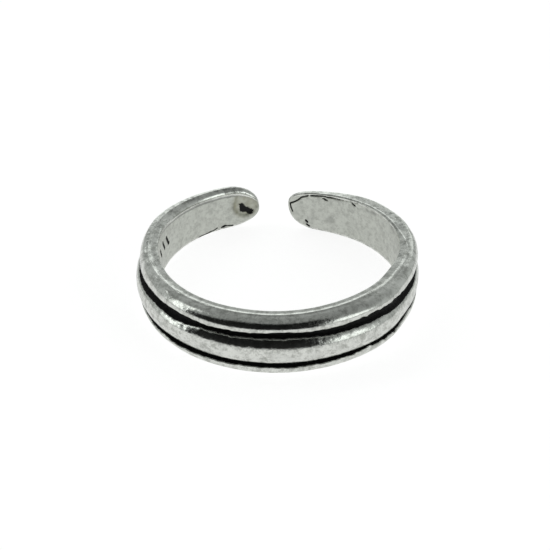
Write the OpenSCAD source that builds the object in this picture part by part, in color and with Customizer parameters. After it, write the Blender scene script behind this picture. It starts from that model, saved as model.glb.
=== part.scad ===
// Open toe ring in one piece of silver. It lies on its lower edge, with the middle of the band
// towards -Y and the gap towards +Y. The origin is on the axis of the bore, at the lower edge.
// An angle is the direction that the band faces: 0 in its middle, growing towards +X.

/* [Band] */
// Radius of the bore in the front of the ring
bore_r = 7.28; // [6.5:0.02:9]
// Angle at which each arm leaves the true round of the bore
bore_to = 62; // [58:1:80]
// Width of the band in the middle
front_w = 4.1; // [3:0.1:5]
// Width that the two arms taper to at the back
back_w = 3; // [2.4:0.1:4]
// Thickness in the middle
front_t = 1.62; // [1.2:0.02:2]
// Thickness at the sides
side_t = 1.36; // [1:0.02:1.8]
// Thickness at the back
back_t = 0.85; // [0.6:0.05:1.2]

/* [Arms] */
// Radius of the left arm where it opens out
left_open_r = 8.33; // [7.3:0.01:10]
// Angle at which the left arm turns in again
left_turn = 111; // [90:1:140]
// Radius of the rest of the left arm
left_r = 6.72; // [6:0.01:8]
// Angle to which the left arm has turned at its end
left_end = 175.3; // [165:0.1:178]
// Length over which the left end is rounded
left_round = 2.1; // [1:0.1:3]
// Height of the left end's tip, as a share of the width there
left_tip_up = 0.41; // [0.3:0.01:0.7]
// Radius of the right arm where it opens out
right_open_r = 9.8; // [7.3:0.01:12]
// Angle at which the right arm turns in again
right_turn = 82; // [75:1:140]
// Radius of the rest of the right arm
right_r = 6.47; // [6:0.01:8]
// Angle to which the right arm has turned at its end
right_end = 182.7; // [165:0.1:184]
// Length over which the right end is rounded
right_round = 2.35; // [1:0.05:3]
// Height of the right end's tip, as a share of the width there
right_tip_up = 0.61; // [0.3:0.01:0.7]

/* [Relief] */
// Height of the beads' lips above the mid-line, as a share of the half width
bead_lip_up = 0.62; // [0.55:0.01:0.7]
// Height of the upper lip of the dome
dome_top_up = 0.37; // [0.3:0.01:0.5]
// Distance of the dome's lower lip below the mid-line, which leaves the lower groove narrower
dome_low_up = 0.46; // [0.3:0.01:0.5]
// Depth of a groove below its lower lip
groove_depth = 0.34; // [0.1:0.02:0.4]
// Angle from each end at which the grooves start to fade
groove_fade_from = 40; // [30:1:60]
// Angle from each end at which the grooves have run out
groove_fade_to = 16; // [5:1:25]

/* [Hidden] */

// Metal that the bore's cutter takes off, so that the wall is a true cylinder, and what is left
// of it where the cutter starts and stops
stock = 0.05;
thin_stock = 0.012;
stock_run = 12;
// Angle between two sections along the arms, and the number of sections round each end
step = 4;
end_steps = 7;
// How much of the width and of the thickness the last section keeps
end_share = 0.16;
end_thin = 0.35;

// Half of the section, above the mid-line. The first value of a point is the distance outwards,
// as a share of the thickness, and the second is the distance up, as a share of the half width.
edge_out = 0.075;
edge_up = 0.13;
edge_top = 0.972;
crease = [0.23, 1];
bead_top = [0.53, 0.985];
bead_out = 0.86;
bead_middle = 0.715;
bead_steps = 6;
crown_at = -0.04;
crown_drop = 1.02;
dome_steps = 4;
floor_share = 0.6;

// Quarter oval between the bore's wall and the rim
edge_arc = [for (a = [0, 30, 60, 90]) [edge_out * (1 - cos(a)), edge_top - edge_up * (1 - sin(a))]];

// Round outer shoulder of the bead, down to its lip
bead_arc = concat([for (i = [0:bead_steps]) let (a = 90 * i / bead_steps)
    [bead_top.x + (bead_out - bead_top.x) * sin(a), bead_middle + (bead_top.y - bead_middle) * cos(a)]],
    [[bead_out, bead_lip_up]]);

function smooth(x) = let (c = min(1, max(0, x))) c * c * (3 - 2 * c);
function outward(a) = [sin(a), -cos(a)];
function back_share(a) = (1 - cos(a)) / 2;
function width(a) = front_w + (back_w - front_w) * back_share(a);

// Thickness: a parabola through the middle, the sides and the back
function thickness(a) = let (q = back_share(a))
    front_t * (1 - q) * (1 - 2 * q) + side_t * 4 * q * (1 - q) + back_t * q * (2 * q - 1);

// Foot of a section on the inner wall. Each arm is two arcs that run on smoothly from the bore:
// the centre of an arc lies on the line through the last one's centre and the place they meet.
function arm_foot(a, side, open_r, turn, arm_r) = let (
    open_centre = (bore_r - open_r) * outward(side * bore_to),
    arm_centre = open_centre + (open_r - arm_r) * outward(side * turn)
) side * a <= bore_to ? bore_r * outward(a)
    : side * a <= turn ? open_centre + open_r * outward(a)
    : arm_centre + arm_r * outward(a);
function foot(a) = a < 0 ? arm_foot(a, -1, left_open_r, left_turn, left_r)
    : arm_foot(a, 1, right_open_r, right_turn, right_r);

// Angle of the two ends, and how much of its size a section keeps as the end rounds off
left_round_a = left_round / left_r * 180 / PI;
right_round_a = right_round / right_r * 180 / PI;
function oval(d) = sqrt(1 - pow(min(1, max(0, d)), 2));
function left_share(a) = oval(1 - (left_end + a) / left_round_a);
function right_share(a) = oval(1 - (right_end - a) / right_round_a);
function to_end(a) = min(left_end + a, right_end - a);
function groove_share(a) = smooth((to_end(a) - groove_fade_to) / (groove_fade_from - groove_fade_to));

// Low crown of the dome, at a height above the mid-line that may be negative
function dome_out(up) = 1 - crown_drop * pow(up - crown_at, 2);

// The groove's two floor corners, between the bead's lip and the dome's
function groove_floor(a, side, dome_up) = let (
    level = min(bead_out, dome_out(side * dome_up)),
    floor = level - groove_depth / thickness(a) * groove_share(a),
    middle = (bead_lip_up + dome_up) / 2,
    half = floor_share * (bead_lip_up - dome_up) / 2
) [[floor, middle + half], [floor, middle - half]];

// Half of the section, with side 1 for the upper half and -1 for the lower one
function half_section(a, side, dome_up) = concat(
    edge_arc, [crease], bead_arc,
    groove_floor(a, side, dome_up),
    [for (i = [0:dome_steps]) let (up = dome_up * (1 - i / dome_steps)) [dome_out(side * up), up]]
);

// Closed section, from the lower end of the bore's wall outside round to its upper end
function section(a) = let (
    low = half_section(a, -1, dome_low_up),
    upper = half_section(a, 1, dome_top_up),
    n = len(upper)
) concat([for (p = low) [p.x, -p.y]], [for (i = [n - 2:-1:0]) upper[i]]);

// Spare metal inside the true bore, which ends where the arms leave it
function stock_at(a) = thin_stock + (stock - thin_stock) * smooth((bore_to - abs(a)) / stock_run);

// One section in space: the flat shape set on its foot and sized for its place
function section_at(a) = let (
    spare = stock_at(a),
    left = left_share(a),
    right = right_share(a),
    share = left * right,
    w = width(a),
    t = thickness(a) * (end_thin + (1 - end_thin) * share),
    mid = w / 2 + (left_tip_up - 0.5) * w * (1 - left) + (right_tip_up - 0.5) * w * (1 - right)
) [for (p = section(a)) let (xy = foot(a) + (p.x * (t + spare) - spare) * outward(a))
    [xy.x, xy.y, mid + p.y * share * w / 2]];

// Angles of all the sections: close together round the ends, evenly spaced between them
end_turns = [for (i = [0:end_steps - 1]) let (s = asin(end_share)) 1 - cos(s + (90 - s) * i / end_steps)];
arm_from = left_round_a - left_end;
arm_to = right_end - right_round_a;
arm_steps = ceil((arm_to - arm_from) / step);
stations = concat(
    [for (d = end_turns) left_round_a * d - left_end],
    [for (i = [0:arm_steps]) arm_from + (arm_to - arm_from) * i / arm_steps],
    [for (i = [end_steps - 1:-1:0]) right_end - right_round_a * end_turns[i]]
);

// Skin over a row of closed sections, with a flat face on each end
module skin(rows) {
    n = len(rows);
    m = len(rows[0]);
    sides = [for (i = [0:n - 2], j = [0:m - 1]) let (a = i * m + j, b = i * m + (j + 1) % m)
        each [[a, b, b + m], [a, b + m, a + m]]];
    first = [for (j = [m - 1:-1:0]) j];
    last = [for (j = [0:m - 1]) (n - 1) * m + j];
    polyhedron(points = [for (row = rows) each row], faces = concat(sides, [first, last]));
}

// Part of a round bar from the axis to the bore's wall
module bore_cutter() {
    clear = 1;
    translate([0, 0, -clear])
        rotate_extrude(angle = 2 * bore_to, start = -bore_to - 90, $fn = 180)
            square([bore_r, front_w + 2 * clear]);
}

// The band: lofted metal, bored out round in front
module band() {
    color([0.78, 0.8, 0.79])
        difference() {
            skin([for (a = stations) section_at(a)]);
            bore_cutter();
        }
}

band();
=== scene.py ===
# %% [markdown]
# # An open toe ring in silver
# The real thing is one strip of silver, bent round until its two ends nearly meet. Two grooves
# run along the outside and are filled with black oxide, and the metal has the small dents, dull
# patches and bright rubbed edges of a piece that has been made and worn by hand. This lesson
# loads the measured solid, lays a much finer skin over it, and lights it as a small studio would.

# %% The frame
import math

import bpy
import numpy as np
from mathutils import Matrix, Vector, noise


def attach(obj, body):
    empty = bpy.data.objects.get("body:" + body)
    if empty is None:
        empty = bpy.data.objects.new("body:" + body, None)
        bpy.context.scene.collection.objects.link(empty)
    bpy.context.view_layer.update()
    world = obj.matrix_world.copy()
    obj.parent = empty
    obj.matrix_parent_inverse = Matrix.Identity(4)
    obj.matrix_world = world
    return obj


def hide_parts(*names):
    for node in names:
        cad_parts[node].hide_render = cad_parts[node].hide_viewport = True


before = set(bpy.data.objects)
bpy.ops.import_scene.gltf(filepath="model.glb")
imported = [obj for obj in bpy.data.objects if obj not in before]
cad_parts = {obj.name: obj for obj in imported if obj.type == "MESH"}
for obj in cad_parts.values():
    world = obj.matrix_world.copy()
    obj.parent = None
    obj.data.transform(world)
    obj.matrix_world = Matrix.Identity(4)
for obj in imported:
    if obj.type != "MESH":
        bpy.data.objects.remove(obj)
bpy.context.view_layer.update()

MM = 0.001

# %% [markdown]
# ## The camera
# The picture is taken from in front and above, with a long lens, so the two grooves stay nearly
# parallel. A camera is placed by three directions: its right, its up, and the way back from the
# object. A target for it to track would be shorter to write, but would allow no roll, and a
# camera in the hand is never quite level. The ring lies a little off the middle of the frame, so
# the camera is moved sideways by the same amount.

# %% Camera
VIEW_UP = math.radians(35.633)
VIEW_ROLL = math.radians(0.369)
VIEW_FAR = 250 * MM
AIM_BACK = 0.309 * MM
AIM_LEFT, AIM_UP = 0.1366 * MM, 1.055 * MM
PIXELS_PER_MM = 15.94
FRAME_PIXELS = 550
SENSOR = 36.0

back = Vector((0, -math.cos(VIEW_UP), math.sin(VIEW_UP)))
level_up = Vector((0, math.sin(VIEW_UP), math.cos(VIEW_UP)))
level_right = Vector((1, 0, 0))
right = level_right * math.cos(VIEW_ROLL) - level_up * math.sin(VIEW_ROLL)
up = level_right * math.sin(VIEW_ROLL) + level_up * math.cos(VIEW_ROLL)

camera_data = bpy.data.cameras.new("studio_camera")
camera_data.sensor_width = SENSOR
camera_data.lens = PIXELS_PER_MM * VIEW_FAR / MM * SENSOR / FRAME_PIXELS
camera_data.clip_start = 0.01
camera = bpy.data.objects.new("studio_camera", camera_data)
bpy.context.collection.objects.link(camera)
turn = Matrix((right, up, back)).transposed().to_4x4()
turn.translation = back * VIEW_FAR - right * AIM_LEFT + up * AIM_UP + Vector((0, AIM_BACK, 0))
camera.matrix_world = turn
bpy.context.scene.camera = camera
print("lens", round(camera_data.lens, 1), "mm")

# %% [markdown]
# ## The sizes of the band
# The sizes follow those of the solid, with the small differences between the arms drawn more
# closely. Along the band an angle is counted from the middle of the front, in degrees, and
# grows towards +X. The band is widest and thickest in front and tapers to the two ends. The
# front of the bore is truly round, and each arm goes on from it in arcs: both open out a little
# and turn in again, and the last part of the right arm is straighter, as if bent by hand. An
# angle is the direction that the band faces at a place, so the arcs join without a kink. Small
# additions make the band wider and thicker on the right of the front, and thinner and a little
# narrower near the right end.

# %% Band sizes
BORE_R, BORE_TO = 7.28, 62.0
LEFT_ARCS = ((BORE_TO, 8.33), (111.0, 6.72))
RIGHT_ARCS = ((BORE_TO, 18.9), (67.0, 6.48), (150.0, 9.96))
FRONT_W, LEFT_W, RIGHT_W = 4.13, 2.83, 2.92
WIDER, WIDER_AT, WIDER_WIDE = 0.08, 36.0, 20.0
FRONT_T, LEFT_T, RIGHT_T, LEFT_BACK_T, RIGHT_BACK_T = 1.6, 1.38, 1.18, 0.71, 0.99
SWELL, SWELL_AT, SWELL_WIDE = 0.25, 51.0, 18.0
RIGHT_THIN, THIN_FROM, THIN_TO = 0.5, 135, 170
RIGHT_NARROW, NARROW_FROM, NARROW_TO = 0.05, 148, 168
LEFT_END, LEFT_ROUND, LEFT_TIP_UP, LEFT_SQUARE = -175.4, 2.08, 0.47, 2.14
RIGHT_END, RIGHT_ROUND, RIGHT_TIP_UP, RIGHT_SQUARE = 172.4, 1.9, 0.68, 2.25
END_THIN = 0.35
LEFT_ROUND_A = math.degrees(LEFT_ROUND / LEFT_ARCS[-1][1])
RIGHT_ROUND_A = math.degrees(RIGHT_ROUND / RIGHT_ARCS[-1][1])
print("round ends start", round(LEFT_ROUND_A, 1), "and", round(RIGHT_ROUND_A, 1), "degrees in")

# %% Width, thickness and wall
def smooth(x):
    x = np.clip(x, 0, 1)
    return x * x * (3 - 2 * x)


def fade(x, start, stop):
    """0 before start, 1 past stop, and a smooth rise between them"""
    return smooth((x - start) / (stop - start))


def back_share(a):
    return (1 - np.cos(np.radians(a))) / 2


def width(a):
    wider = WIDER * np.exp(-((a - WIDER_AT) / WIDER_WIDE) ** 2)
    narrower = RIGHT_NARROW * FRONT_W * fade(a, NARROW_FROM, NARROW_TO)
    tapered = FRONT_W + (np.where(a > 0, RIGHT_W, LEFT_W) - FRONT_W) * back_share(a)
    return tapered + wider - narrower


def thickness(a):
    q = back_share(a)
    side, rear = np.where(a > 0, RIGHT_T, LEFT_T), np.where(a > 0, RIGHT_BACK_T, LEFT_BACK_T)
    plain = FRONT_T * (1 - q) * (1 - 2 * q) + side * 4 * q * (1 - q) + rear * q * (2 * q - 1)
    plain = plain + SWELL * np.exp(-((a - SWELL_AT) / SWELL_WIDE) ** 2)
    return plain * (1 - RIGHT_THIN * fade(a, THIN_FROM, THIN_TO))


def outward(a):
    return np.stack([np.sin(np.radians(a)), -np.cos(np.radians(a))], axis=-1)


def foot(a):
    """Point of the inner wall at an angle. Each arc of an arm runs on smoothly from the last."""
    place = BORE_R * outward(a)
    for side, arcs in ((-1, LEFT_ARCS), (1, RIGHT_ARCS)):
        centre, radius = np.zeros(2), BORE_R
        for turn_at, arc_r in arcs:
            centre = centre + (radius - arc_r) * outward(np.array(side * turn_at))
            radius = arc_r
            place = np.where((side * a > turn_at)[:, None], centre + radius * outward(a), place)
    return place


def oval(d, power):
    """Half height of an oval end, which a power above 2 makes squarer"""
    return (1 - np.clip(d, 0, 1) ** power) ** (1 / power)


def left_share(a):
    return oval(1 - (a - LEFT_END) / LEFT_ROUND_A, LEFT_SQUARE)


def right_share(a):
    return oval(1 - (RIGHT_END - a) / RIGHT_ROUND_A, RIGHT_SQUARE)


print("widths", [round(float(width(a)), 2) for a in (-160.0, 0.0, 160.0)], "mm")

# %% [markdown]
# ## Where the sections stand
# The skin is a row of closed sections, joined by four-sided faces. It could also be a curve with
# a bevel, but a bevel keeps one section all along, and this one changes from place to place. A
# dent can only be as fine as the gap between two sections, so they stand closer where the metal
# has small marks: on both arms near the ends and where the wall is punched. Round an end they
# close up like the lines of a globe, which keeps its outline smooth.

# %% Stations
STATIONS, TIP_STATIONS, FIRST_TURN = 466, 46, 0.035
CLOSER = ((-118, -90, 6, 1.0), (-200, -145, 8, 0.8), (138, 200, 8, 0.8), (-90, 85, 10, 0.3))


def window(x, low, high, soft):
    """1 between low and high, and a soft fall to 0 outside"""
    return smooth((x - low) / soft + 1) * smooth((high - x) / soft + 1)


def spread(start, stop, count):
    """Angles from start to stop, up to twice as close where the marks are"""
    even = np.linspace(start, stop, 4000)
    crowd = 1 + sum(more * window(even, low, high, soft) for low, high, soft, more in CLOSER)
    total = np.concatenate([[0], np.cumsum((crowd[1:] + crowd[:-1]) / 2)])
    return np.interp(np.linspace(0, total[-1], count), total, even)


tip_turn = 1 - np.cos(np.linspace(FIRST_TURN, math.pi / 2, TIP_STATIONS, endpoint=False))
angles = np.concatenate([
    LEFT_END + LEFT_ROUND_A * tip_turn,
    spread(LEFT_END + LEFT_ROUND_A, RIGHT_END - RIGHT_ROUND_A, STATIONS),
    (RIGHT_END - RIGHT_ROUND_A * tip_turn)[::-1],
])
print(len(angles), "sections")

# %% [markdown]
# ## The inner edges and the rim
# From the toe outwards the top of the band has a rounded inner edge, a rim that rises to a fine
# ridge, and a slope to the upper bead. Sizes are shares, so that the section shrinks with the
# band: 1 outwards is the thickness at that place, and 1 upwards is half of the width. A section
# has an upper half (side 1) and a lower half (side -1). Along the sides the ridge of the upper
# half moves outwards, on the right arm it comes back to the edge, and the left arm's edge is
# worn to a wide bevel. Each change fades in between two angles.

# %% Edges and rim
EDGE_OUT, EDGE_DOWN, EDGE_TOP, EDGE_FLAT = 0.03, 0.08, 0.974, 0.994
FLAT_FROM, FLAT_TO, RIM_TILT = 100, 130, 0.005
WORN_OUT, WORN_DOWN, WORN_FROM, WORN_TO = 0.30, 0.32, 92, 120
CREASE, CREASE_SIDE, CREASE_END, CREASE_WORN = 0.31, 0.42, 0.10, 0.12
FLANK_FROM, FLANK_TO = 25, 75
RIDGE_OUT_FROM, RIDGE_OUT_TO, RIDGE_BACK_FROM, RIDGE_BACK_TO = 35, 75, 78, 108


def worn(a, side):
    """How far the inner edge is worn to a bevel, which is on the upper side of the left arm"""
    return fade(-a, WORN_FROM, WORN_TO) * (side > 0)


def flank_share(a):
    """How far the section has changed from that of the front to that of the sides"""
    return fade(np.abs(a), FLANK_FROM, FLANK_TO)


def along(pair, a):
    """Size at an angle, from a pair of sizes for the front and for the sides"""
    return pair[0] + (pair[1] - pair[0]) * flank_share(a)


def edge_top(a, side):
    """Height share of the inner edge, which lies lower along the upper rim of the sides"""
    flat = fade(a, FLAT_FROM, FLAT_TO)
    return (EDGE_TOP - RIM_TILT * flank_share(a) * (side > 0)) * (1 - flat) + EDGE_FLAT * flat


def crease_out(a, side):
    """How far out the ridge of the rim lies"""
    moved_out = fade(np.abs(a), RIDGE_OUT_FROM, RIDGE_OUT_TO) * (side > 0)
    go = CREASE + (CREASE_SIDE - CREASE) * moved_out
    go = go + (CREASE_END - go) * fade(a, RIDGE_BACK_FROM, RIDGE_BACK_TO)
    go = go + (CREASE_WORN - go) * worn(a, side)
    return EDGE_OUT + WORN_OUT * worn(a, side) + go


for place_name, a in (("front", 0.0), ("right side", 70.0), ("left arm", -130.0)):
    print("ridge at the", place_name, round(float(crease_out(a, 1)), 2), "of the thickness out")

# %% [markdown]
# ## The lips of the grooves
# The grooves are cut by hand, so their lips wander. Noise alone would make them look dirty, not
# hand-made, so the long strays are drawn one by one, as pairs of an angle and a share. The short
# ones are sums of sines, and they are rougher on a stretch on the right, where the tool has
# jumped. Towards both ends of the band the grooves get shallow and run out. The upper and the
# lower half have their own sizes, most of them for the front and for the sides. A stretch of the
# band is written as its first angle, its last, and how softly it begins and ends.

# %% Lips of the grooves
GROOVE_DEPTH, GROOVE_FADE_FROM, GROOVE_FADE_TO = 0.34, 40, 16
BEAD_WAVES, WAVE_BEAD = (0.45, 0.8, 1.7, 3.1), 0.013
DOME_WAVES, WAVE_DOME = (0.4, 0.7, 1.3, 2.6), 0.011
RAGGED, RAGGED_STRETCH = 1.4, (36, 64, 6)
SIDES = {
    1: {"bead_from": (0.42, 0.55), "bead_out": (0.93, 0.82, 0.95), "equator": (0.75, 0.72),
        "bead_lip": (0.68, 0.60), "dome_lip": (0.33, 0.225), "tuck": 0.06},
    -1: {"bead_from": (0.31, 0.50), "bead_out": (0.83, 0.85, 0.90), "equator": (0.69, 0.66),
         "bead_lip": (0.655, 0.61), "dome_lip": (0.475, 0.475), "tuck": 0.01},
}
LIP_WANDER = {
    (1, "bead"): ((-110, 0), (-82, -0.13), (-73, -0.10), (-62, -0.04), (-47, -0.03), (-27, -0.09),
                  (-13, -0.07), (0, -0.01), (12, -0.06), (29, -0.10), (41, 0.01), (57, 0.02),
                  (68, -0.02), (110, 0)),
    (1, "dome"): ((-110, 0), (-82, -0.11), (-73, -0.09), (-62, 0), (-48, -0.08), (-35, -0.02),
                  (0, 0.01), (12, -0.01), (28, -0.08), (47, -0.04), (60, -0.08), (70, -0.14),
                  (110, 0)),
    (-1, "bead"): ((-110, 0), (-60, 0.08), (-40, 0.06), (-20, 0), (20, 0.02), (40, -0.01),
                   (49, 0), (58, 0.05), (75, 0.04), (110, 0)),
    (-1, "dome"): ((-110, 0), (-70, 0.02), (-50, 0.07), (-35, 0.07), (-20, 0.01), (18, 0.06),
                   (35, 0.05), (47, 0.06), (58, 0.10), (75, 0.08), (110, 0)),
}


def waves(x, seed, lengths, size):
    """Sum of sines of the given wavelengths, with seeded phases, about size high"""
    rng = np.random.default_rng(seed)
    total = sum(np.sin(2 * math.pi * (x / w + rng.random())) for w in lengths)
    return size * total / math.sqrt(len(lengths))


def wander(a, side, edge):
    """How far a lip strays from its even line, as a share of the half width"""
    at, by = zip(*LIP_WANDER[side, edge])
    return np.interp(a, at, by)


def lips(a, side):
    """Height shares of the bead's outermost place, of its lip and of the dome's lip"""
    arc = a * math.pi / 180 * BORE_R
    stray = wander(a, side, "bead")
    ragged = 1 + RAGGED * window(a, *RAGGED_STRETCH)
    equator = along(SIDES[side]["equator"], a) + 0.5 * stray
    bead_lip = along(SIDES[side]["bead_lip"], a) + stray
    bead_lip = bead_lip + waves(arc, 3 + side, BEAD_WAVES, WAVE_BEAD) * ragged
    dome_lip = along(SIDES[side]["dome_lip"], a) + wander(a, side, "dome")
    dome_lip = dome_lip + waves(arc, 8 + side, DOME_WAVES, WAVE_DOME)
    return equator, bead_lip, dome_lip


def groove_share(a):
    to_end = np.minimum(a - LEFT_END, RIGHT_END - a)
    return fade(to_end, GROOVE_FADE_TO, GROOVE_FADE_FROM)


upper_width = (lips(angles, 1)[1] - lips(angles, 1)[2]) * width(angles) / 2
print("upper groove", upper_width.min().round(2), "to", upper_width.max().round(2), "mm wide")

# %% [markdown]
# ## The section
# Half a section is a chain of short rows of points, from the middle of the inner wall over the
# rim and the bead, down into the groove, and up to the middle of the dome. Every row gets a part
# number: 0 wall, 1 inner edge, 2 rim, 3 bead, 4 flank of the groove, 5 its floor, 6 dome. The
# finish will ask for it later. The points crowd towards the ridge and the lips, where the metal
# turns fastest, so that a mirror image stays smooth there.

# %% Wall and rim
WALL_STEPS, EDGE_STEPS, RIM_STEPS = 28, 5, 14
SHELF_UP, SHELF_SHORT, SHELF_WIDER, SHELF_CLEAR = 0.975, 0.15, 0.15, 0.01
SHELF_STRETCH = (-76, -54, 8)


def wall_and_rim(a, side, bead_from, bead_top):
    """Rows from mid-wall over the rounded edge and the ridge to where the bead starts"""
    edge_out = EDGE_OUT + WORN_OUT * worn(a, side)
    edge_up = (EDGE_DOWN + WORN_DOWN * worn(a, side)) / (width(a) / 2)
    inner_top, crease = edge_top(a, side), crease_out(a, side)
    shelf_wide = SHELF_SHORT + SHELF_WIDER * window(a, *SHELF_STRETCH) * (side > 0)
    shelf = np.maximum(crease - shelf_wide, edge_out + SHELF_CLEAR)
    shelf_up = np.maximum(SHELF_UP, inner_top)
    climb = np.linspace(0, 1, WALL_STEPS, endpoint=False)
    turn = np.linspace(0, math.pi / 2, EDGE_STEPS, endpoint=False)
    half_way = np.array([0, 0.5])
    rise = 1 - np.linspace(1, 0, RIM_STEPS // 2, endpoint=False) ** 1.5
    fall = np.linspace(0, 1, RIM_STEPS // 2, endpoint=False) ** 1.7
    return [
        (0 * climb, climb * (inner_top - edge_up), 0),
        (edge_out * (1 - np.cos(turn)), inner_top - edge_up * (1 - np.sin(turn)), 1),
        (edge_out + (shelf - edge_out) * half_way, inner_top + (shelf_up - inner_top) * half_way, 2),
        (shelf + (crease - shelf) * rise, shelf_up + (1 - shelf_up) * rise, 2),
        (crease + (bead_from - crease) * fall, 1 + (bead_top - 1) * fall, 2),
    ]


print(WALL_STEPS + EDGE_STEPS + 2 + RIM_STEPS, "points from mid-wall to the bead")

# %% Bead, groove and dome
BEAD_STEPS, GROOVE_STEPS, DOME_STEPS = 14, 3, 13
CROWN_AT, CROWN_DROP, LOW_DROP, LOW_FROM = -0.09, (1.1, 0.56), 0.5, 0.15
SHOULDER, SHOULDER_WIDE = 1.5, 0.2
FLOOR_SHARE, FLOOR_BOW, LIP_STEP = 0.6, 0.1, 0.008


def dome_out(a, side, up, dome_lip):
    """How far out the dome is at a height: a low crown, which falls off faster at its lips"""
    under = LOW_DROP * flank_share(a) * (side < 0) * np.maximum(0, up - LOW_FROM) ** 2
    over = SHOULDER * (side > 0) * np.maximum(0, up - dome_lip + SHOULDER_WIDE) ** 2
    return 1 - along(CROWN_DROP, a) * (side * up - CROWN_AT) ** 2 - under - over


def bead_to_dome(a, side, bead_from, bead_top):
    """Rows round the bead, down into the groove, across its floor, and up over the dome"""
    equator, bead_lip, dome_lip = lips(a, side)
    in_front, on_left, on_right = SIDES[side]["bead_out"]
    bead_out = in_front + (np.where(a > 0, on_right, on_left) - in_front) * flank_share(a)
    turn, tuck = np.linspace(0, math.pi / 2, BEAD_STEPS), np.radians([30, 55, 80])
    tuck_in = SIDES[side]["tuck"] * (1 - np.cos(tuck))
    lip_out, dome_edge = bead_out - tuck_in[-1], dome_out(a, side, dome_lip, dome_lip)
    depth = GROOVE_DEPTH * groove_share(a) / thickness(a)
    floor = np.minimum(lip_out, dome_edge) - depth
    middle, half = (bead_lip + dome_lip) / 2, (bead_lip - dome_lip) / 2 * FLOOR_SHARE
    down = np.linspace(0, 1, GROOVE_STEPS, endpoint=False)[1:]
    across = np.linspace(-1, 1, GROOVE_STEPS + 1)
    to_crown = 1 - np.linspace(0, 1, DOME_STEPS + 1) ** 1.2
    crown = dome_out(a, side, dome_lip * to_crown, dome_lip) - LIP_STEP * (to_crown > 0.999)
    return [
        (bead_from + (bead_out - bead_from) * np.sin(turn),
         equator + (bead_top - equator) * np.cos(turn), 3),
        (bead_out - tuck_in, equator + (bead_lip - equator) * np.sin(tuck) / np.sin(tuck[-1]), 3),
        (lip_out + (floor - lip_out) * down, bead_lip + (middle + half - bead_lip) * down, 4),
        (floor - FLOOR_BOW * depth * (1 - across ** 2), middle - half * across, 5),
        (floor + (dome_edge - LIP_STEP - floor) * down,
         middle - half + (dome_lip - middle + half) * down, 4),
        (crown, dome_lip * to_crown, 6),
    ]


for side in (1, -1):
    lip_up = lips(np.zeros(1), side)[2]
    lip_at = dome_out(np.zeros(1), side, lip_up, lip_up)[0]
    print("lip of the dome on side", side, "is", lip_at.round(2), "of the thickness out")

# %% Closed sections
BEAD_TOP, FROM_ARM, ARM_SLOPE, CREASE_CLEAR = 0.985, 0.74, 0.025, 0.08
ARM_FROM, ARM_TO = 90, 115


def half_section(a, side):
    """Shares out and up, and a part number, from mid-wall over the rim to mid-dome"""
    a = a[:, None]
    on_arm = fade(np.abs(a), ARM_FROM, ARM_TO) * (side > 0)
    bead_from = along(SIDES[side]["bead_from"], a)
    bead_from = bead_from + (FROM_ARM - bead_from) * on_arm
    bead_from = np.maximum(bead_from, crease_out(a, side) + CREASE_CLEAR)
    bead_top = BEAD_TOP - ARM_SLOPE * on_arm
    rows = wall_and_rim(a, side, bead_from, bead_top) + bead_to_dome(a, side, bead_from, bead_top)
    one = np.ones_like(a)
    out = np.concatenate([r[0] * one for r in rows], axis=1)
    upward = np.concatenate([r[1] * one for r in rows], axis=1)
    part = np.concatenate([np.full(np.shape(r[0] * one)[1], r[2]) for r in rows])
    return out, side * upward, part


def closed_sections(a):
    """Both halves joined to a closed row of points, without the two that they share"""
    top_out, top_up, top_part = half_section(a, 1)
    low_out, low_up, low_part = half_section(a, -1)
    return (
        np.concatenate([top_out, low_out[:, -2:0:-1]], axis=1),
        np.concatenate([top_up, low_up[:, -2:0:-1]], axis=1),
        np.concatenate([top_part, low_part[-2:0:-1]]),
    )


out_share, up_share, part_of = closed_sections(angles)
ROUND = out_share.shape[1]
print(ROUND, "points round a section,", 2 * ROUND * len(angles), "triangles")

# %% [markdown]
# ## From sections to points
# Each section is set on the wall of the bore and turned to face along the band. Round the two
# ends its height follows an oval and it gets thinner, and the tip of each end sits at its own
# height, because the ends were filed by eye. A strip could also be drawn flat and wrapped round
# a bar, as a smith does it, but here every section already knows where it stands.

# %% Points of the plain band
share = left_share(angles) * right_share(angles)
thick = thickness(angles) * (END_THIN + (1 - END_THIN) * share)
middle_up = width(angles) / 2
middle_up = middle_up + (LEFT_TIP_UP - 0.5) * width(angles) * (1 - left_share(angles))
middle_up = middle_up + (RIGHT_TIP_UP - 0.5) * width(angles) * (1 - right_share(angles))

out_mm = out_share * thick[:, None]
up_mm = middle_up[:, None] + up_share * (share * width(angles) / 2)[:, None]
flat_place = foot(angles)[:, None, :] + out_mm[:, :, None] * outward(angles)[:, None, :]
points = np.concatenate([flat_place, up_mm[:, :, None]], axis=2)


def skin_normals(p):
    """Unit normals of a grid that is closed the second way round, pointing out of the metal"""
    lengthwise = np.gradient(p, axis=0)
    across = np.roll(p, -1, axis=1) - np.roll(p, 1, axis=1)
    n = np.cross(lengthwise, across)
    return n / np.maximum(np.linalg.norm(n, axis=2, keepdims=True), 1e-12)


normals = skin_normals(points)
on_dome = (part_of == 6)[None, :, None]
away = np.concatenate([outward(angles), 0 * angles[:, None]], axis=1)[:, None, :]
if (normals * away * on_dome).sum() < 0:
    normals = -normals
print("band", points.reshape(-1, 3).min(0).round(2), points.reshape(-1, 3).max(0).round(2))

# %% [markdown]
# ## Dents, nicks and tool marks
# Small marks give silver its life, because every one of them bends a reflection. Each mark is a
# height, in millimetres, that moves the skin along its own normal, and many are added up:
# a soft unevenness all over, lumps left by the file along the ridge and the rim, a crease and
# nicks by the edges, a shallow dish near the left end, and a row of plain punched ticks.
# A place on the wall is given by its length along the band and its height above the floor.

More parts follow.
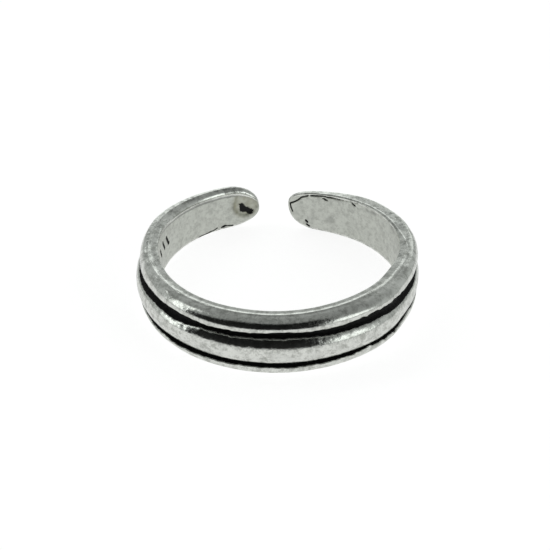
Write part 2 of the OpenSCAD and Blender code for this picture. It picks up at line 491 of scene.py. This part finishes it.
# %% Helpers for marks
wall_run = np.linalg.norm(np.diff(foot(angles), axis=0), axis=1)
run_mm = np.concatenate([[0], np.cumsum(wall_run)])
run_mm -= np.interp(0, angles, run_mm)
along_mm = np.broadcast_to(run_mm[:, None], up_mm.shape)
angle_of = np.broadcast_to(angles[:, None], up_mm.shape)
part = np.broadcast_to(part_of[None, :], up_mm.shape)
on_wall = (part == 0) * 1.0
on_outside = (part >= 3) * 1.0


def lumps(size, seed):
    """Noise over the skin with lumps of the given size, from -1 to 1"""
    shift = Vector((seed * 17.3, seed * 5.1, seed * 9.7))
    flat = points.reshape(-1, 3) / size
    values = [noise.noise(Vector(p) + shift) for p in flat]
    return np.array(values).reshape(up_mm.shape)


def arc_mm(angle):
    """Length along the wall, from the middle of the front"""
    return float(np.interp(angle, angles, run_mm))


def line_mask(places, radius, soft=0.05):
    """1 along a line through places (angle, height) on the wall, with a radius in mm"""
    best = np.full(up_mm.shape, 1e9)
    for (a0, z0), (a1, z1) in zip(places[:-1], places[1:]):
        start, run = np.array([arc_mm(a0), z0]), np.array([arc_mm(a1) - arc_mm(a0), z1 - z0])
        dx, dz = along_mm - start[0], up_mm - start[1]
        k = np.clip((dx * run[0] + dz * run[1]) / max(run @ run, 1e-9), 0, 1)
        best = np.minimum(best, np.hypot(dx - k * run[0], dz - k * run[1]))
    return smooth((radius + soft - best) / soft)


def patch_mask(corners, soft):
    """1 inside a shape on the wall with corners (angle, height), with a soft border"""
    spots = [(arc_mm(a), z) for a, z in corners]
    inside = np.zeros(up_mm.shape, dtype=bool)
    for (x0, z0), (x1, z1) in zip(spots, spots[1:] + spots[:1]):
        if z0 != z1:
            crossing = x0 + (x1 - x0) * (up_mm - z0) / (z1 - z0)
            inside ^= ((z0 > up_mm) != (z1 > up_mm)) & (along_mm < crossing)
    border = line_mask(corners + corners[:1], 0.0, soft)
    return np.where(inside, 1 - 0.5 * border, 0.5 * border)


broad, medium, fine = lumps(1.5, 1), lumps(0.55, 2), lumps(0.22, 3)
print("noise from", fine.min().round(2), "to", fine.max().round(2))

# %% Unevenness and lumps
RIDGE_HIGH, RIDGE_WIDE, LUMPS_WIDE = 0.012, 0.022, 0.09
STREAK_AT, STREAK_WIDE, STREAK_STRETCH = 0.6, 0.07, (-82, -58, 8)
LUMPY_LEFT, LUMPY_RIGHT = (-80, -52, 8), (42, 62, 8)

height = (0.010 * broad + 0.003 * medium + 0.002 * fine) * on_outside
height += 0.005 * broad + 0.002 * medium

on_rim = up_share > 0.9
off_ridge = out_share - crease_out(angles, 1)[:, None]
ridge = np.exp(-(off_ridge / RIDGE_WIDE) ** 2) * on_rim
by_ridge = np.exp(-(off_ridge / LUMPS_WIDE) ** 2) * on_rim
lumpy = 0.8 * window(angle_of, *LUMPY_LEFT) + 0.6 * window(angle_of, *LUMPY_RIGHT)
streak = np.exp(-((out_share - STREAK_AT) / STREAK_WIDE) ** 2) * on_rim
streak = streak * window(angle_of, *STREAK_STRETCH)
height += streak * (0.05 + 0.05 * medium + 0.03 * fine)
height += by_ridge * lumpy * (0.05 + 0.04 * medium + 0.03 * fine) + RIDGE_HIGH * ridge
print("lumps up to", height.max().round(3), "mm high")

# %% Ticks and dish
TICKS = [(-95.5, 0.06), (-100.5, -0.04), (-105.5, 0.05), (-110.5, -0.03)]
TICK_LEAN, TICK_TOP, TICK_FOOT, TICK_R, TICK_DEEP = 1.4, 2.22, 1.52, 0.07, 0.07
ticks = sum(line_mask([(a + TICK_LEAN, TICK_TOP + d), (a - TICK_LEAN, TICK_FOOT + d)], TICK_R, 0.07)
            for a, d in TICKS) * on_wall
height -= TICK_DEEP * ticks

DISH_AT, DISH_UP, DISH_LONG, DISH_HIGH, DISH_DEEP = -167.6, 1.62, 0.88, 0.98, 0.08
dish_r = np.hypot((along_mm - arc_mm(DISH_AT)) / DISH_LONG, (up_mm - DISH_UP) / DISH_HIGH)
dish_r = dish_r + 0.06 * medium
dish = smooth((1 - dish_r) / 0.3) * on_wall
height -= DISH_DEEP * dish
print(len(TICKS), "ticks and a dish,", height.min().round(3), "mm at the deepest")

# %% Crease lines and nicks
LEFT_DEEP, RIGHT_DEEP, NICK_DEEP, END_CALM = 0.025, 0.045, 0.035, 0.25
LEFT_STRETCH, DEEPER_FROM, DEEPER_TO = (-160, -90, 12), 150, 158
RIGHT_CREASE = [(171.6, 1.84), (170.0, 1.98), (168.6, 2.16), (167.4, 2.38), (164.6, 2.58),
                (159.2, 2.71), (151.4, 2.77), (141.5, 2.96)]
NICKS = [
    ([(-139, 0.10), (-145, 0.11), (-149.5, 0.16), (-151.5, 0.25)], 0.02),
    ([(-153.8, 0.17), (-155.6, 0.25), (-157.4, 0.21), (-160.8, 0.15)], 0.02),
    ([(-154.6, 0.22), (-156.2, 0.25)], 0.05),
    ([(158.0, 2.46), (159.0, 2.54)], 0.05),
    ([(144.3, 2.68), (145.8, 2.76)], 0.045),
    ([(165.8, 0.62), (165.3, 0.50)], 0.05),
    ([(165.5, 0.32), (164.6, 0.22)], 0.04),
    ([(171.7, 1.82), (171.4, 1.5), (170.8, 1.22)], 0.02),
    ([(-86, 3.1), (-88, 3.05)], 0.03),
]

top_mm = up_mm.max(axis=1, keepdims=True)
line_drop = (1 - edge_top(angles, 1)) * width(angles) / 2 + EDGE_DOWN + WORN_DOWN * worn(angles, 1)
left_line = np.exp(-((up_mm - top_mm + line_drop[:, None]) / 0.05) ** 2) * (out_share < 0.03)
left_line = left_line * window(angle_of, *LEFT_STRETCH)
right_line = line_mask(RIGHT_CREASE, 0.025, 0.05) * (out_share < 0.1)
right_line = right_line * (0.5 + 0.5 * fade(angle_of, DEEPER_FROM, DEEPER_TO))
right_line = right_line * smooth((fine + 0.75) / 0.3)
height -= LEFT_DEEP * left_line + RIGHT_DEEP * right_line
nicks = np.clip(sum(line_mask(places, r) for places, r in NICKS) * (out_share < 0.05), 0, 1)
height -= NICK_DEEP * nicks

height *= np.minimum(1, share / END_CALM)[:, None]
points = points + height[:, :, None] * normals
points[:, :, 2] = np.maximum(points[:, :, 2], 0)
print("marks between", height.min().round(3), "and", height.max().round(3), "mm")

# %% [markdown]
# ## The mesh
# The points become a mesh with one four-sided face between each pair of sections and each pair
# of points, and a fan of triangles closes each tip. The volume, added up from the corners of the
# triangles, shows whether the faces look outwards: it is negative when they are inside out.
# A built-in tool could turn the faces too, but the volume can also be compared with the solid's.

# %% Mesh
def build_skin(name, grid):
    n, m = grid.shape[:2]
    verts = (grid.reshape(-1, 3) * MM).tolist()
    i, j = np.meshgrid(np.arange(n - 1), np.arange(m), indexing="ij")
    a, b = i * m + j, i * m + (j + 1) % m
    faces = np.stack([a, a + m, b + m, b], axis=-1).reshape(-1, 4).tolist()
    for row, turn_back in ((0, False), (n - 1, True)):
        verts.append((grid[row].mean(axis=0) * MM).tolist())
        ring = [row * m + k for k in range(m)]
        for k in range(m):
            pair = [ring[k], ring[(k + 1) % m]]
            faces.append((pair[::-1] if turn_back else pair) + [len(verts) - 1])
    mesh = bpy.data.meshes.new(name)
    mesh.from_pydata(verts, [], faces)
    mesh.validate()
    mesh.shade_smooth()
    return mesh


band_mesh = build_skin("toe_ring_band", points)
volume = 0.0
band_mesh.calc_loop_triangles()
for triangle in band_mesh.loop_triangles:
    p, q, r = (band_mesh.vertices[k].co for k in triangle.vertices)
    volume += p.dot(q.cross(r)) / 6
if volume < 0:
    band_mesh.flip_normals()
band = bpy.data.objects.new("toe_ring_band", band_mesh)
bpy.context.collection.objects.link(band)
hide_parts("band")
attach(band, "root")
print(len(band_mesh.polygons), "faces,", round(abs(volume) / MM ** 3, 1), "mm3")

# %% [markdown]
# ## What each place looks like
# What the finish has to know about a place is stored as numbers on the points, called
# attributes. They follow the metal wherever it goes, which a painted picture would need a flat
# map for. Four numbers are kept. The first is the black oxide that fills the grooves and sits in
# the ticks and the blotch, and it is also painted shade in the nicks and along the crease of the
# right arm. The second is a thinner grey: painted shade along the crease of the left arm, and
# grime on dull spots and in the mottled rim of the sides. The third, *olive*, is the yellow-green
# tarnish in the dish and round its border. The fourth is the bright metal on the lips, where a
# toe, a shoe and a cloth touch it most, and a painted highlight along the ridges, the lumps and
# the streak of the rim. All four follow from the marks made above, so a dent and its stain can
# never drift apart.

# %% Blackened places
def store(name, values):
    flat = np.concatenate([values.reshape(-1), [values[0].mean(), values[-1].mean()]])
    layer = band_mesh.attributes.new(name, "FLOAT", "POINT")
    layer.data.foreach_set("value", np.clip(flat, 0, 1).astype(np.float32))


in_groove = ((part == 4) | (part == 5)) * 1.0
groove_fill = in_groove * smooth(groove_share(angles) * 1.6)[:, None]
BLOTCH = [(-164.3, 1.68), (-166.0, 1.74), (-167.9, 1.46), (-172.4, 1.10), (-171.6, 0.84),
          (-170.0, 0.78), (-168.4, 0.96), (-166.6, 0.98), (-164.8, 1.06), (-164.6, 1.3)]
blotch = patch_mask(BLOTCH, 0.09) * on_wall
# Black oxide in the grooves, the ticks and the blotch, and painted shade in the nicks and along the
# crease of the right arm.
store("oxide_and_shade", groove_fill + 0.95 * ticks + 0.8 * (blotch + right_line + nicks))
print("blackened:", round(float((groove_fill > 0.5).mean()), 3), "of the points")

# %% Dull and stained places, painted shade and painted highlights
DULL_RIM, DIRTY_EDGE = (78, 118, 12), (98, 150, 8)
SPOT_AT, SPOT_WIDE, DIRT_DOWN, DIRT_WIDE = 106, 3.5, 0.28, 0.14
ring_of_dish = np.exp(-((dish_r - 0.92) / 0.16) ** 2) * on_wall
dull = smooth((medium + 0.5 * broad - 0.15) / 0.5)
rim_dull = (part == 2) * window(angle_of, *DULL_RIM) * smooth((medium - 0.1) / 0.3)
smudge = line_mask([(156.3, 1.06), (157.0, 0.96)], 0.1, 0.3) * on_wall
rim_spot = np.exp(-((angle_of - SPOT_AT) / SPOT_WIDE) ** 2) * (part == 2)
edge_dirt = np.exp(-((up_mm - top_mm + DIRT_DOWN) / DIRT_WIDE) ** 2) * on_wall
edge_dirt = edge_dirt * window(angle_of, *DIRTY_EDGE)
edge_dirt = edge_dirt * smooth((medium + 0.5 * fine + 0.25) / 0.6)
mottle = smooth((fine + 0.5 * medium + 0.05) / 0.5) * (part == 2) * flank_share(angles)[:, None]
# The left_line term is painted shade along the crease of the left arm; the other terms are grime and
# dull patches.
store("grime_and_shade", 0.85 * left_line + 0.2 * dull * on_wall + 0.5 * rim_dull + 0.4 * smudge
      + 0.5 * rim_spot + 0.45 * edge_dirt + 0.62 * mottle + (0.35 + 0.5 * fine) * ring_of_dish)
store("olive", (0.6 + 0.3 * medium + 0.25 * fine) * dish + 0.4 * ring_of_dish)

lip = np.zeros_like(part_of, dtype=float)
edges = np.flatnonzero((part_of[:-1] != part_of[1:]) & ((part_of[:-1] == 4) | (part_of[1:] == 4)))
for k in edges:
    lip[k:k + 2] = 1
lip[(part_of == 4) | (part_of == 5)] = 0
# Rubbed bright metal on the lips, and a painted highlight along the ridge, its lumps and the streak
# of the rim.
store("rub_and_sheen", 0.8 * np.broadcast_to(lip, up_mm.shape) + 0.7 * ridge
      + 0.9 * by_ridge * lumpy * (fine > 0) + 0.9 * streak * smooth((fine + 0.4) / 0.4))
print("attributes:", [layer.name for layer in band_mesh.attributes if layer.data_type == "FLOAT"])

# %% [markdown]
# ## Node helpers
# A material is a graph of small steps, which an artist would draw by hand. In a script each node
# takes several lines, so short functions keep the code readable: one adds a node and sets its
# sockets, one adds a sum or product, one turns a range of values into another, and one mixes two
# colours. The others read a number stored on the mesh, scale the place on the metal, and add
# noise.

# %% Node helpers
def add(tree, kind, settings=None, **sockets):
    """New node with its settings, and sockets by name or, as i0, i1 and so on, by number"""
    made = tree.nodes.new(kind)
    for key, value in (settings or {}).items():
        setattr(made, key, value)
    for key, value in sockets.items():
        by_number = key[0] == "i" and key[1:].isdigit()
        socket = made.inputs[int(key[1:]) if by_number else key.replace("_", " ")]
        if isinstance(value, bpy.types.NodeSocket):
            tree.links.new(value, socket)
        else:
            socket.default_value = value
    return made


def calc(tree, operation, a, b=0.0, c=0.0):
    return add(tree, "ShaderNodeMath", {"operation": operation}, i0=a, i1=b, i2=c).outputs[0]


def ramp(tree, value, low, high, to_low=0.0, to_high=1.0):
    made = add(tree, "ShaderNodeMapRange", {"interpolation_type": "SMOOTHSTEP"}, i0=value)
    for k, number in zip((1, 2, 3, 4), (low, high, to_low, to_high)):
        made.inputs[k].default_value = number
    return made.outputs[0]


def mix_colour(tree, share_of_b, colour_a, colour_b):
    made = add(tree, "ShaderNodeMix", {"data_type": "RGBA"}, i0=share_of_b)
    for k, colour in ((6, colour_a), (7, colour_b)):
        if isinstance(colour, bpy.types.NodeSocket):
            tree.links.new(colour, made.inputs[k])
        else:
            made.inputs[k].default_value = (*colour, 1)
    return made.outputs[2]


def attribute(tree, name):
    return add(tree, "ShaderNodeAttribute", {"attribute_name": name}).outputs["Fac"]


def scaled_vector(tree, vector, scale):
    made = add(tree, "ShaderNodeVectorMath", {"operation": "SCALE"}, i0=vector, Scale=scale)
    return made.outputs[0]


def metal_place(tree, size):
    """The place on the metal in millimetres, times a size that the group is given"""
    place = add(tree, "ShaderNodeTexCoord").outputs["Object"]
    return scaled_vector(tree, scaled_vector(tree, place, 1 / MM), size)


def speckle(tree, vector, scale, detail, roughness):
    return add(tree, "ShaderNodeTexNoise", Vector=vector, Scale=scale, Detail=detail,
               Roughness=roughness).outputs[0]


print("node helpers ready")

# %% [markdown]
# ## The silver
# Sterling silver is a pale, slightly warm grey mirror. Worn silver is a mirror with a fine haze:
# tiny scratches from cloth and skin, cloudy patches where it has begun to tarnish, and small
# pits. These could be painted, but the metal is seen from very close, and a picture would need
# to be huge. Noise is as sharp as the view, has no seams, and sits in the metal in millimetres.
# The scratches and clouds are used on all finishes, so they are made once as node groups.

# %% Wear groups
def new_group(name, inputs, outputs):
    tree = bpy.data.node_groups.new(name, "ShaderNodeTree")
    for label, value in inputs.items():
        socket = tree.interface.new_socket(label, in_out="INPUT", socket_type="NodeSocketFloat")
        socket.default_value = value
    for label in outputs:
        tree.interface.new_socket(label, in_out="OUTPUT", socket_type="NodeSocketFloat")
    return tree, tree.nodes.new("NodeGroupInput"), tree.nodes.new("NodeGroupOutput")


clouds, ins, outs = new_group("tarnish_clouds", {"Size": 1.0}, ["Clouds", "Specks"])
place = metal_place(clouds, ins.outputs["Size"])
wide = speckle(clouds, place, 1.1, 4.0, 0.6)
clouds.links.new(ramp(clouds, wide, 0.38, 0.66), outs.inputs["Clouds"])
speck = speckle(clouds, place, 5.5, 3.0, 0.7)
clouds.links.new(ramp(clouds, speck, 0.56, 0.72), outs.inputs["Specks"])

scratches, ins, outs = new_group("fine_scratches", {"Size": 1.0}, ["Height", "Haze", "Grain"])
place = metal_place(scratches, ins.outputs["Size"])
grain = speckle(scratches, place, 7.0, 5.0, 0.65)
pits = speckle(scratches, place, 2.6, 2.0, 0.5)
scratches.links.new(calc(scratches, "MULTIPLY_ADD", pits, 1.4, grain), outs.inputs["Height"])
scratches.links.new(ramp(scratches, grain, 0.3, 0.75), outs.inputs["Haze"])
dust = speckle(scratches, place, 2.0, 6.0, 0.78)
scratches.links.new(ramp(scratches, dust, 0.42, 0.66), outs.inputs["Grain"])
print("groups:", [g.name for g in bpy.data.node_groups])

# %% [markdown]
# ## The three finishes
# The outside and the rim are rubbed bright, the inner wall is duller, and the grooves are rough.
# One function makes all three from the same steps: tarnish darkens the silver where the clouds
# and the grime are, and painted shade darkens it along the crease of the left arm; rubbed metal
# and painted highlights take that away. Olive stains it, fine grain darkens it in specks, and
# black covers it with a ragged edge: real oxide in the grooves, ticks and blotch, and painted
# shade in the nicks and along the crease of the right arm. Oxide isn't a metal, so the black also
# takes the mirror away. A stain could be a material of its own, but then it would end in a hard
# line.

# %% Silver and oxide
SILVER, SATIN = (0.79, 0.807, 0.765), (0.63, 0.653, 0.60)
# The dull grey is also painted shade along the crease of the left arm, and the black is also painted
# shade in the nicks and the right crease.
DULL_AND_SHADE, GRAIN, OLIVE = (0.36, 0.37, 0.35), (0.30, 0.31, 0.28), (0.27, 0.26, 0.16)
OXIDE_AND_SHADE = (0.006, 0.006, 0.006)
BLACK_FROM, BLACK_TO, BLACK_RAGGED, NOT_METAL = 0.42, 0.72, 0.35, 0.85
SPECK_SHARE, OLIVE_SHARE = 0.6, 0.8
HAZE_ROUGH, BLACK_ROUGH = 0.15, 0.3


def metal_finish(name, size, clouding, smoothness, roughest, bump_mm, silver, graining):
    material = bpy.data.materials.new(name)
    material.use_nodes = True
    tree = material.node_tree
    shader = tree.nodes["Principled BSDF"]
    cloud = add(tree, "ShaderNodeGroup", {"node_tree": clouds}, Size=size)
    scratch = add(tree, "ShaderNodeGroup", {"node_tree": scratches}, Size=size)
    # Tarnish from the clouds and the grime, with the painted shade of the left crease; rubbed places
    # and painted highlights take it away.
    tarnish_and_shade = calc(tree, "MULTIPLY_ADD", cloud.outputs["Clouds"], clouding, attribute(tree, "grime_and_shade"))
    tarnish_and_shade = calc(tree, "MULTIPLY_ADD", cloud.outputs["Specks"], clouding * SPECK_SHARE, tarnish_and_shade)
    tarnish_and_shade = ramp(tree, calc(tree, "SUBTRACT", tarnish_and_shade, attribute(tree, "rub_and_sheen")), 0.0, 1.0)
    olive = calc(tree, "MULTIPLY", attribute(tree, "olive"), OLIVE_SHARE)
    dark_grain = calc(tree, "MULTIPLY", scratch.outputs["Grain"], graining)
    # Real oxide, and painted shade in the nicks and along the crease of the right arm.
    oxide_and_shade = attribute(tree, "oxide_and_shade")
    black = calc(tree, "MULTIPLY_ADD", scratch.outputs["Haze"], BLACK_RAGGED, oxide_and_shade)
    black = ramp(tree, black, BLACK_FROM, BLACK_TO)
    colour = silver
    for amount, over in ((tarnish_and_shade, DULL_AND_SHADE), (olive, OLIVE), (dark_grain, GRAIN), (black, OXIDE_AND_SHADE)):
        colour = mix_colour(tree, amount, colour, over)
    tree.links.new(colour, shader.inputs["Base Color"])
    tree.links.new(calc(tree, "MULTIPLY_ADD", black, -NOT_METAL, 1.0), shader.inputs["Metallic"])
    rough = ramp(tree, scratch.outputs["Haze"], 0.0, 1.0, smoothness, roughest)
    rough = calc(tree, "MULTIPLY_ADD", tarnish_and_shade, HAZE_ROUGH, rough)
    rough = calc(tree, "MULTIPLY_ADD", black, BLACK_ROUGH, rough)
    tree.links.new(rough, shader.inputs["Roughness"])
    shader.inputs["Specular IOR Level"].default_value = 0.3
    bump = add(tree, "ShaderNodeBump", Height=scratch.outputs["Height"], Distance=bump_mm * MM,
               Strength=1.0)
    tree.links.new(bump.outputs[0], shader.inputs["Normal"])
    return material


for finish in (
    metal_finish("polished_silver", 1.0, 0.30, 0.10, 0.21, 0.008, SILVER, 0.68),
    metal_finish("satin_silver", 1.6, 0.25, 0.30, 0.42, 0.008, SATIN, 0.5),
    metal_finish("blackened_groove", 1.6, 0.2, 0.35, 0.5, 0.02, SILVER, 0.3),
):
    band_mesh.materials.append(finish)
print("finishes:", [m.name for m in band_mesh.materials])

# %% Finish of each face
next_part = np.roll(part_of, -1)
is_groove = (part_of == 4) | (part_of == 5) | (next_part == 4) | (next_part == 5)
is_wall = (part_of == 0) & (next_part == 0)
per_strip = np.where(is_groove, 2, np.where(is_wall, 1, 0))
strips = np.concatenate([np.tile(per_strip, len(angles) - 1), np.zeros(2 * ROUND, dtype=int)])
band_mesh.polygons.foreach_set("material_index", strips.tolist())
print("faces of each finish:", np.bincount(strips).tolist())

# %% [markdown]
# ## The floor
# The ring lies on a plain white sheet that is lit so strongly that it is as bright as paper can
# look. Lamps alone could do that, but they would burn out the silver before the paper is white.
# So some of the light comes from the sheet itself, as from a light table, which also keeps the
# shadow under the ring faint. The lower half of the band mirrors the sheet: it glows less in
# that mirror image than for the camera, and least far away from the ring.

# %% Floor
FLOOR_HALF = 1.5
SEEN_GLOW, NEAR_GLOW, FAR_GLOW = 0.87, 0.68, 0.25
NEAR, FAR = 12 * MM, 80 * MM
PAPER = (0.5, 0.5, 0.5, 1)
floor_mesh = bpy.data.meshes.new("studio_floor")
corners = [(-1, -1), (1, -1), (1, 1), (-1, 1)]
spread_out = [(x * FLOOR_HALF, y * FLOOR_HALF, 0) for x, y in corners]
floor_mesh.from_pydata(spread_out, [], [(0, 1, 2, 3)])
floor = bpy.data.objects.new("studio_floor", floor_mesh)
bpy.context.collection.objects.link(floor)
sheet = bpy.data.materials.new("white_sheet")
sheet.use_nodes = True
paper = sheet.node_tree.nodes["Principled BSDF"]
paper.inputs["Base Color"].default_value = PAPER
paper.inputs["Roughness"].default_value = 0.9
paper.inputs["Specular IOR Level"].default_value = 0.0
paper.inputs["Emission Color"].default_value = (1, 1, 1, 1)
seen = add(sheet.node_tree, "ShaderNodeLightPath").outputs["Is Camera Ray"]
place = add(sheet.node_tree, "ShaderNodeTexCoord").outputs["Object"]
far = add(sheet.node_tree, "ShaderNodeVectorMath", {"operation": "LENGTH"}, i0=place)
mirrored = ramp(sheet.node_tree, far.outputs["Value"], NEAR, FAR, NEAR_GLOW, FAR_GLOW)
glow = add(sheet.node_tree, "ShaderNodeMix", {"data_type": "FLOAT"}, i0=seen, i2=mirrored,
           i3=SEEN_GLOW).outputs[0]
sheet.node_tree.links.new(glow, paper.inputs["Emission Strength"])
floor_mesh.materials.append(sheet)
print("floor", 2 * FLOOR_HALF, "m wide")

# %% [markdown]
# ## The studio
# Polished silver has hardly a colour of its own: it shows the room. So the room is designed. It
# is pale grey with a trace of green, brighter low down behind the ring, with two soft boxes on
# the left and right, and a dark screen on the side of the camera, which gives the long dark
# streaks along the beads. Two small panels add the bright patches beside the streaks: a spark on
# the left and a glint behind on the right. Each panel is cut from the sky by planes through the
# ring or beside it, which keeps its edges straight. The screen is laid over all the others.
# Real panels would stand at some distance, and would have to be hidden from the camera. In the
# sky they are infinitely far away, so where they show depends only on how the metal is turned.

# %% Studio
world = bpy.data.worlds.new("studio")
bpy.context.scene.world = world
world.use_nodes = True
sky = world.node_tree
direction = add(sky, "ShaderNodeTexCoord").outputs["Generated"]
axes = add(sky, "ShaderNodeSeparateXYZ", Vector=direction)
rise = axes.outputs["Z"]


def inside_plane(toward, soft, shift=0.0):
    """1 on the side of a plane through the ring that toward points to"""
    side = add(sky, "ShaderNodeVectorMath", {"operation": "DOT_PRODUCT"}, i0=direction,
               i1=Vector(toward).normalized()).outputs["Value"]
    return ramp(sky, side, shift - soft, shift + soft)


def panel(planes):
    mask = 1.0
    for toward, soft, shift in planes:
        mask = calc(sky, "MULTIPLY", inside_plane(toward, soft, shift), mask)
    return mask


def lit(panel_mask, strength, rest):
    return calc(sky, "MAXIMUM", calc(sky, "MULTIPLY", panel_mask, strength), rest)


SIDE_GREY, TOP_GREY, SCREEN_DARK, TINT = 0.48, 0.26, 0.97, (0.968, 1.0, 0.985, 1)
DARK_LEFT, DARK_RIGHT = (0.232, -0.895, 0.378), (-0.794, -0.56, 0.237)
PAST_LEFT, PAST_RIGHT = (-0.232, 0.895, -0.378), (0.794, 0.56, -0.237)
ABOVE, BELOW, TOP_EDGE = (0, 0, 1), (0, 0, -1), (0, -0.9945, -0.1045)
screen = panel([(DARK_LEFT, 0.02, 0.0), (DARK_RIGHT, 0.025, 0.0), (ABOVE, 0.02, 0.02),
                (TOP_EDGE, 0.08, 0.0)])
right_box = panel([(PAST_RIGHT, 0.05, 0.03), ((-0.276, -0.961, 0.0), 0.06, 0.0),
                   (ABOVE, 0.05, 0.05), (BELOW, 0.07, -0.58)])
left_box = panel([(PAST_LEFT, 0.05, 0.02), ((-0.25, -1.0, 0.0), 0.1, 0.0), (ABOVE, 0.05, 0.05)])
behind = panel([((0.97, 0.24, 0), 0.05, 0.0), ((-0.97, 0.24, 0), 0.05, 0.0), (BELOW, 0.05, -0.31)])
spark = panel([(PAST_LEFT, 0.02, 0.02), (DARK_LEFT, 0.05, -0.16), (ABOVE, 0.05, 0.08),
               ((-1, 0, 0), 0.1, 0.45)])
glint = panel([((1, 0, 0), 0.03, 0.11), ((-0.906, 0.423, 0), 0.04, 0.0), (BELOW, 0.03, -0.45),
               (ABOVE, 0.05, 0.18)])
light = ramp(sky, rise, 0.35, 0.98, SIDE_GREY, TOP_GREY)
PANELS = ((behind, 1.1), (right_box, 1.35), (left_box, 1.1), (spark, 2.0), (glint, 0.95))
for mask, strength in PANELS:
    light = lit(mask, strength, light)
light = calc(sky, "MULTIPLY", light, calc(sky, "MULTIPLY_ADD", screen, -SCREEN_DARK, 1.0))
background = sky.nodes["Background"]
background.inputs["Color"].default_value = TINT
sky.links.new(light, background.inputs["Strength"])

bpy.context.scene.view_settings.view_transform = "Standard"
print(len(PANELS), "panels, a screen and", len(sky.nodes), "nodes in the sky")
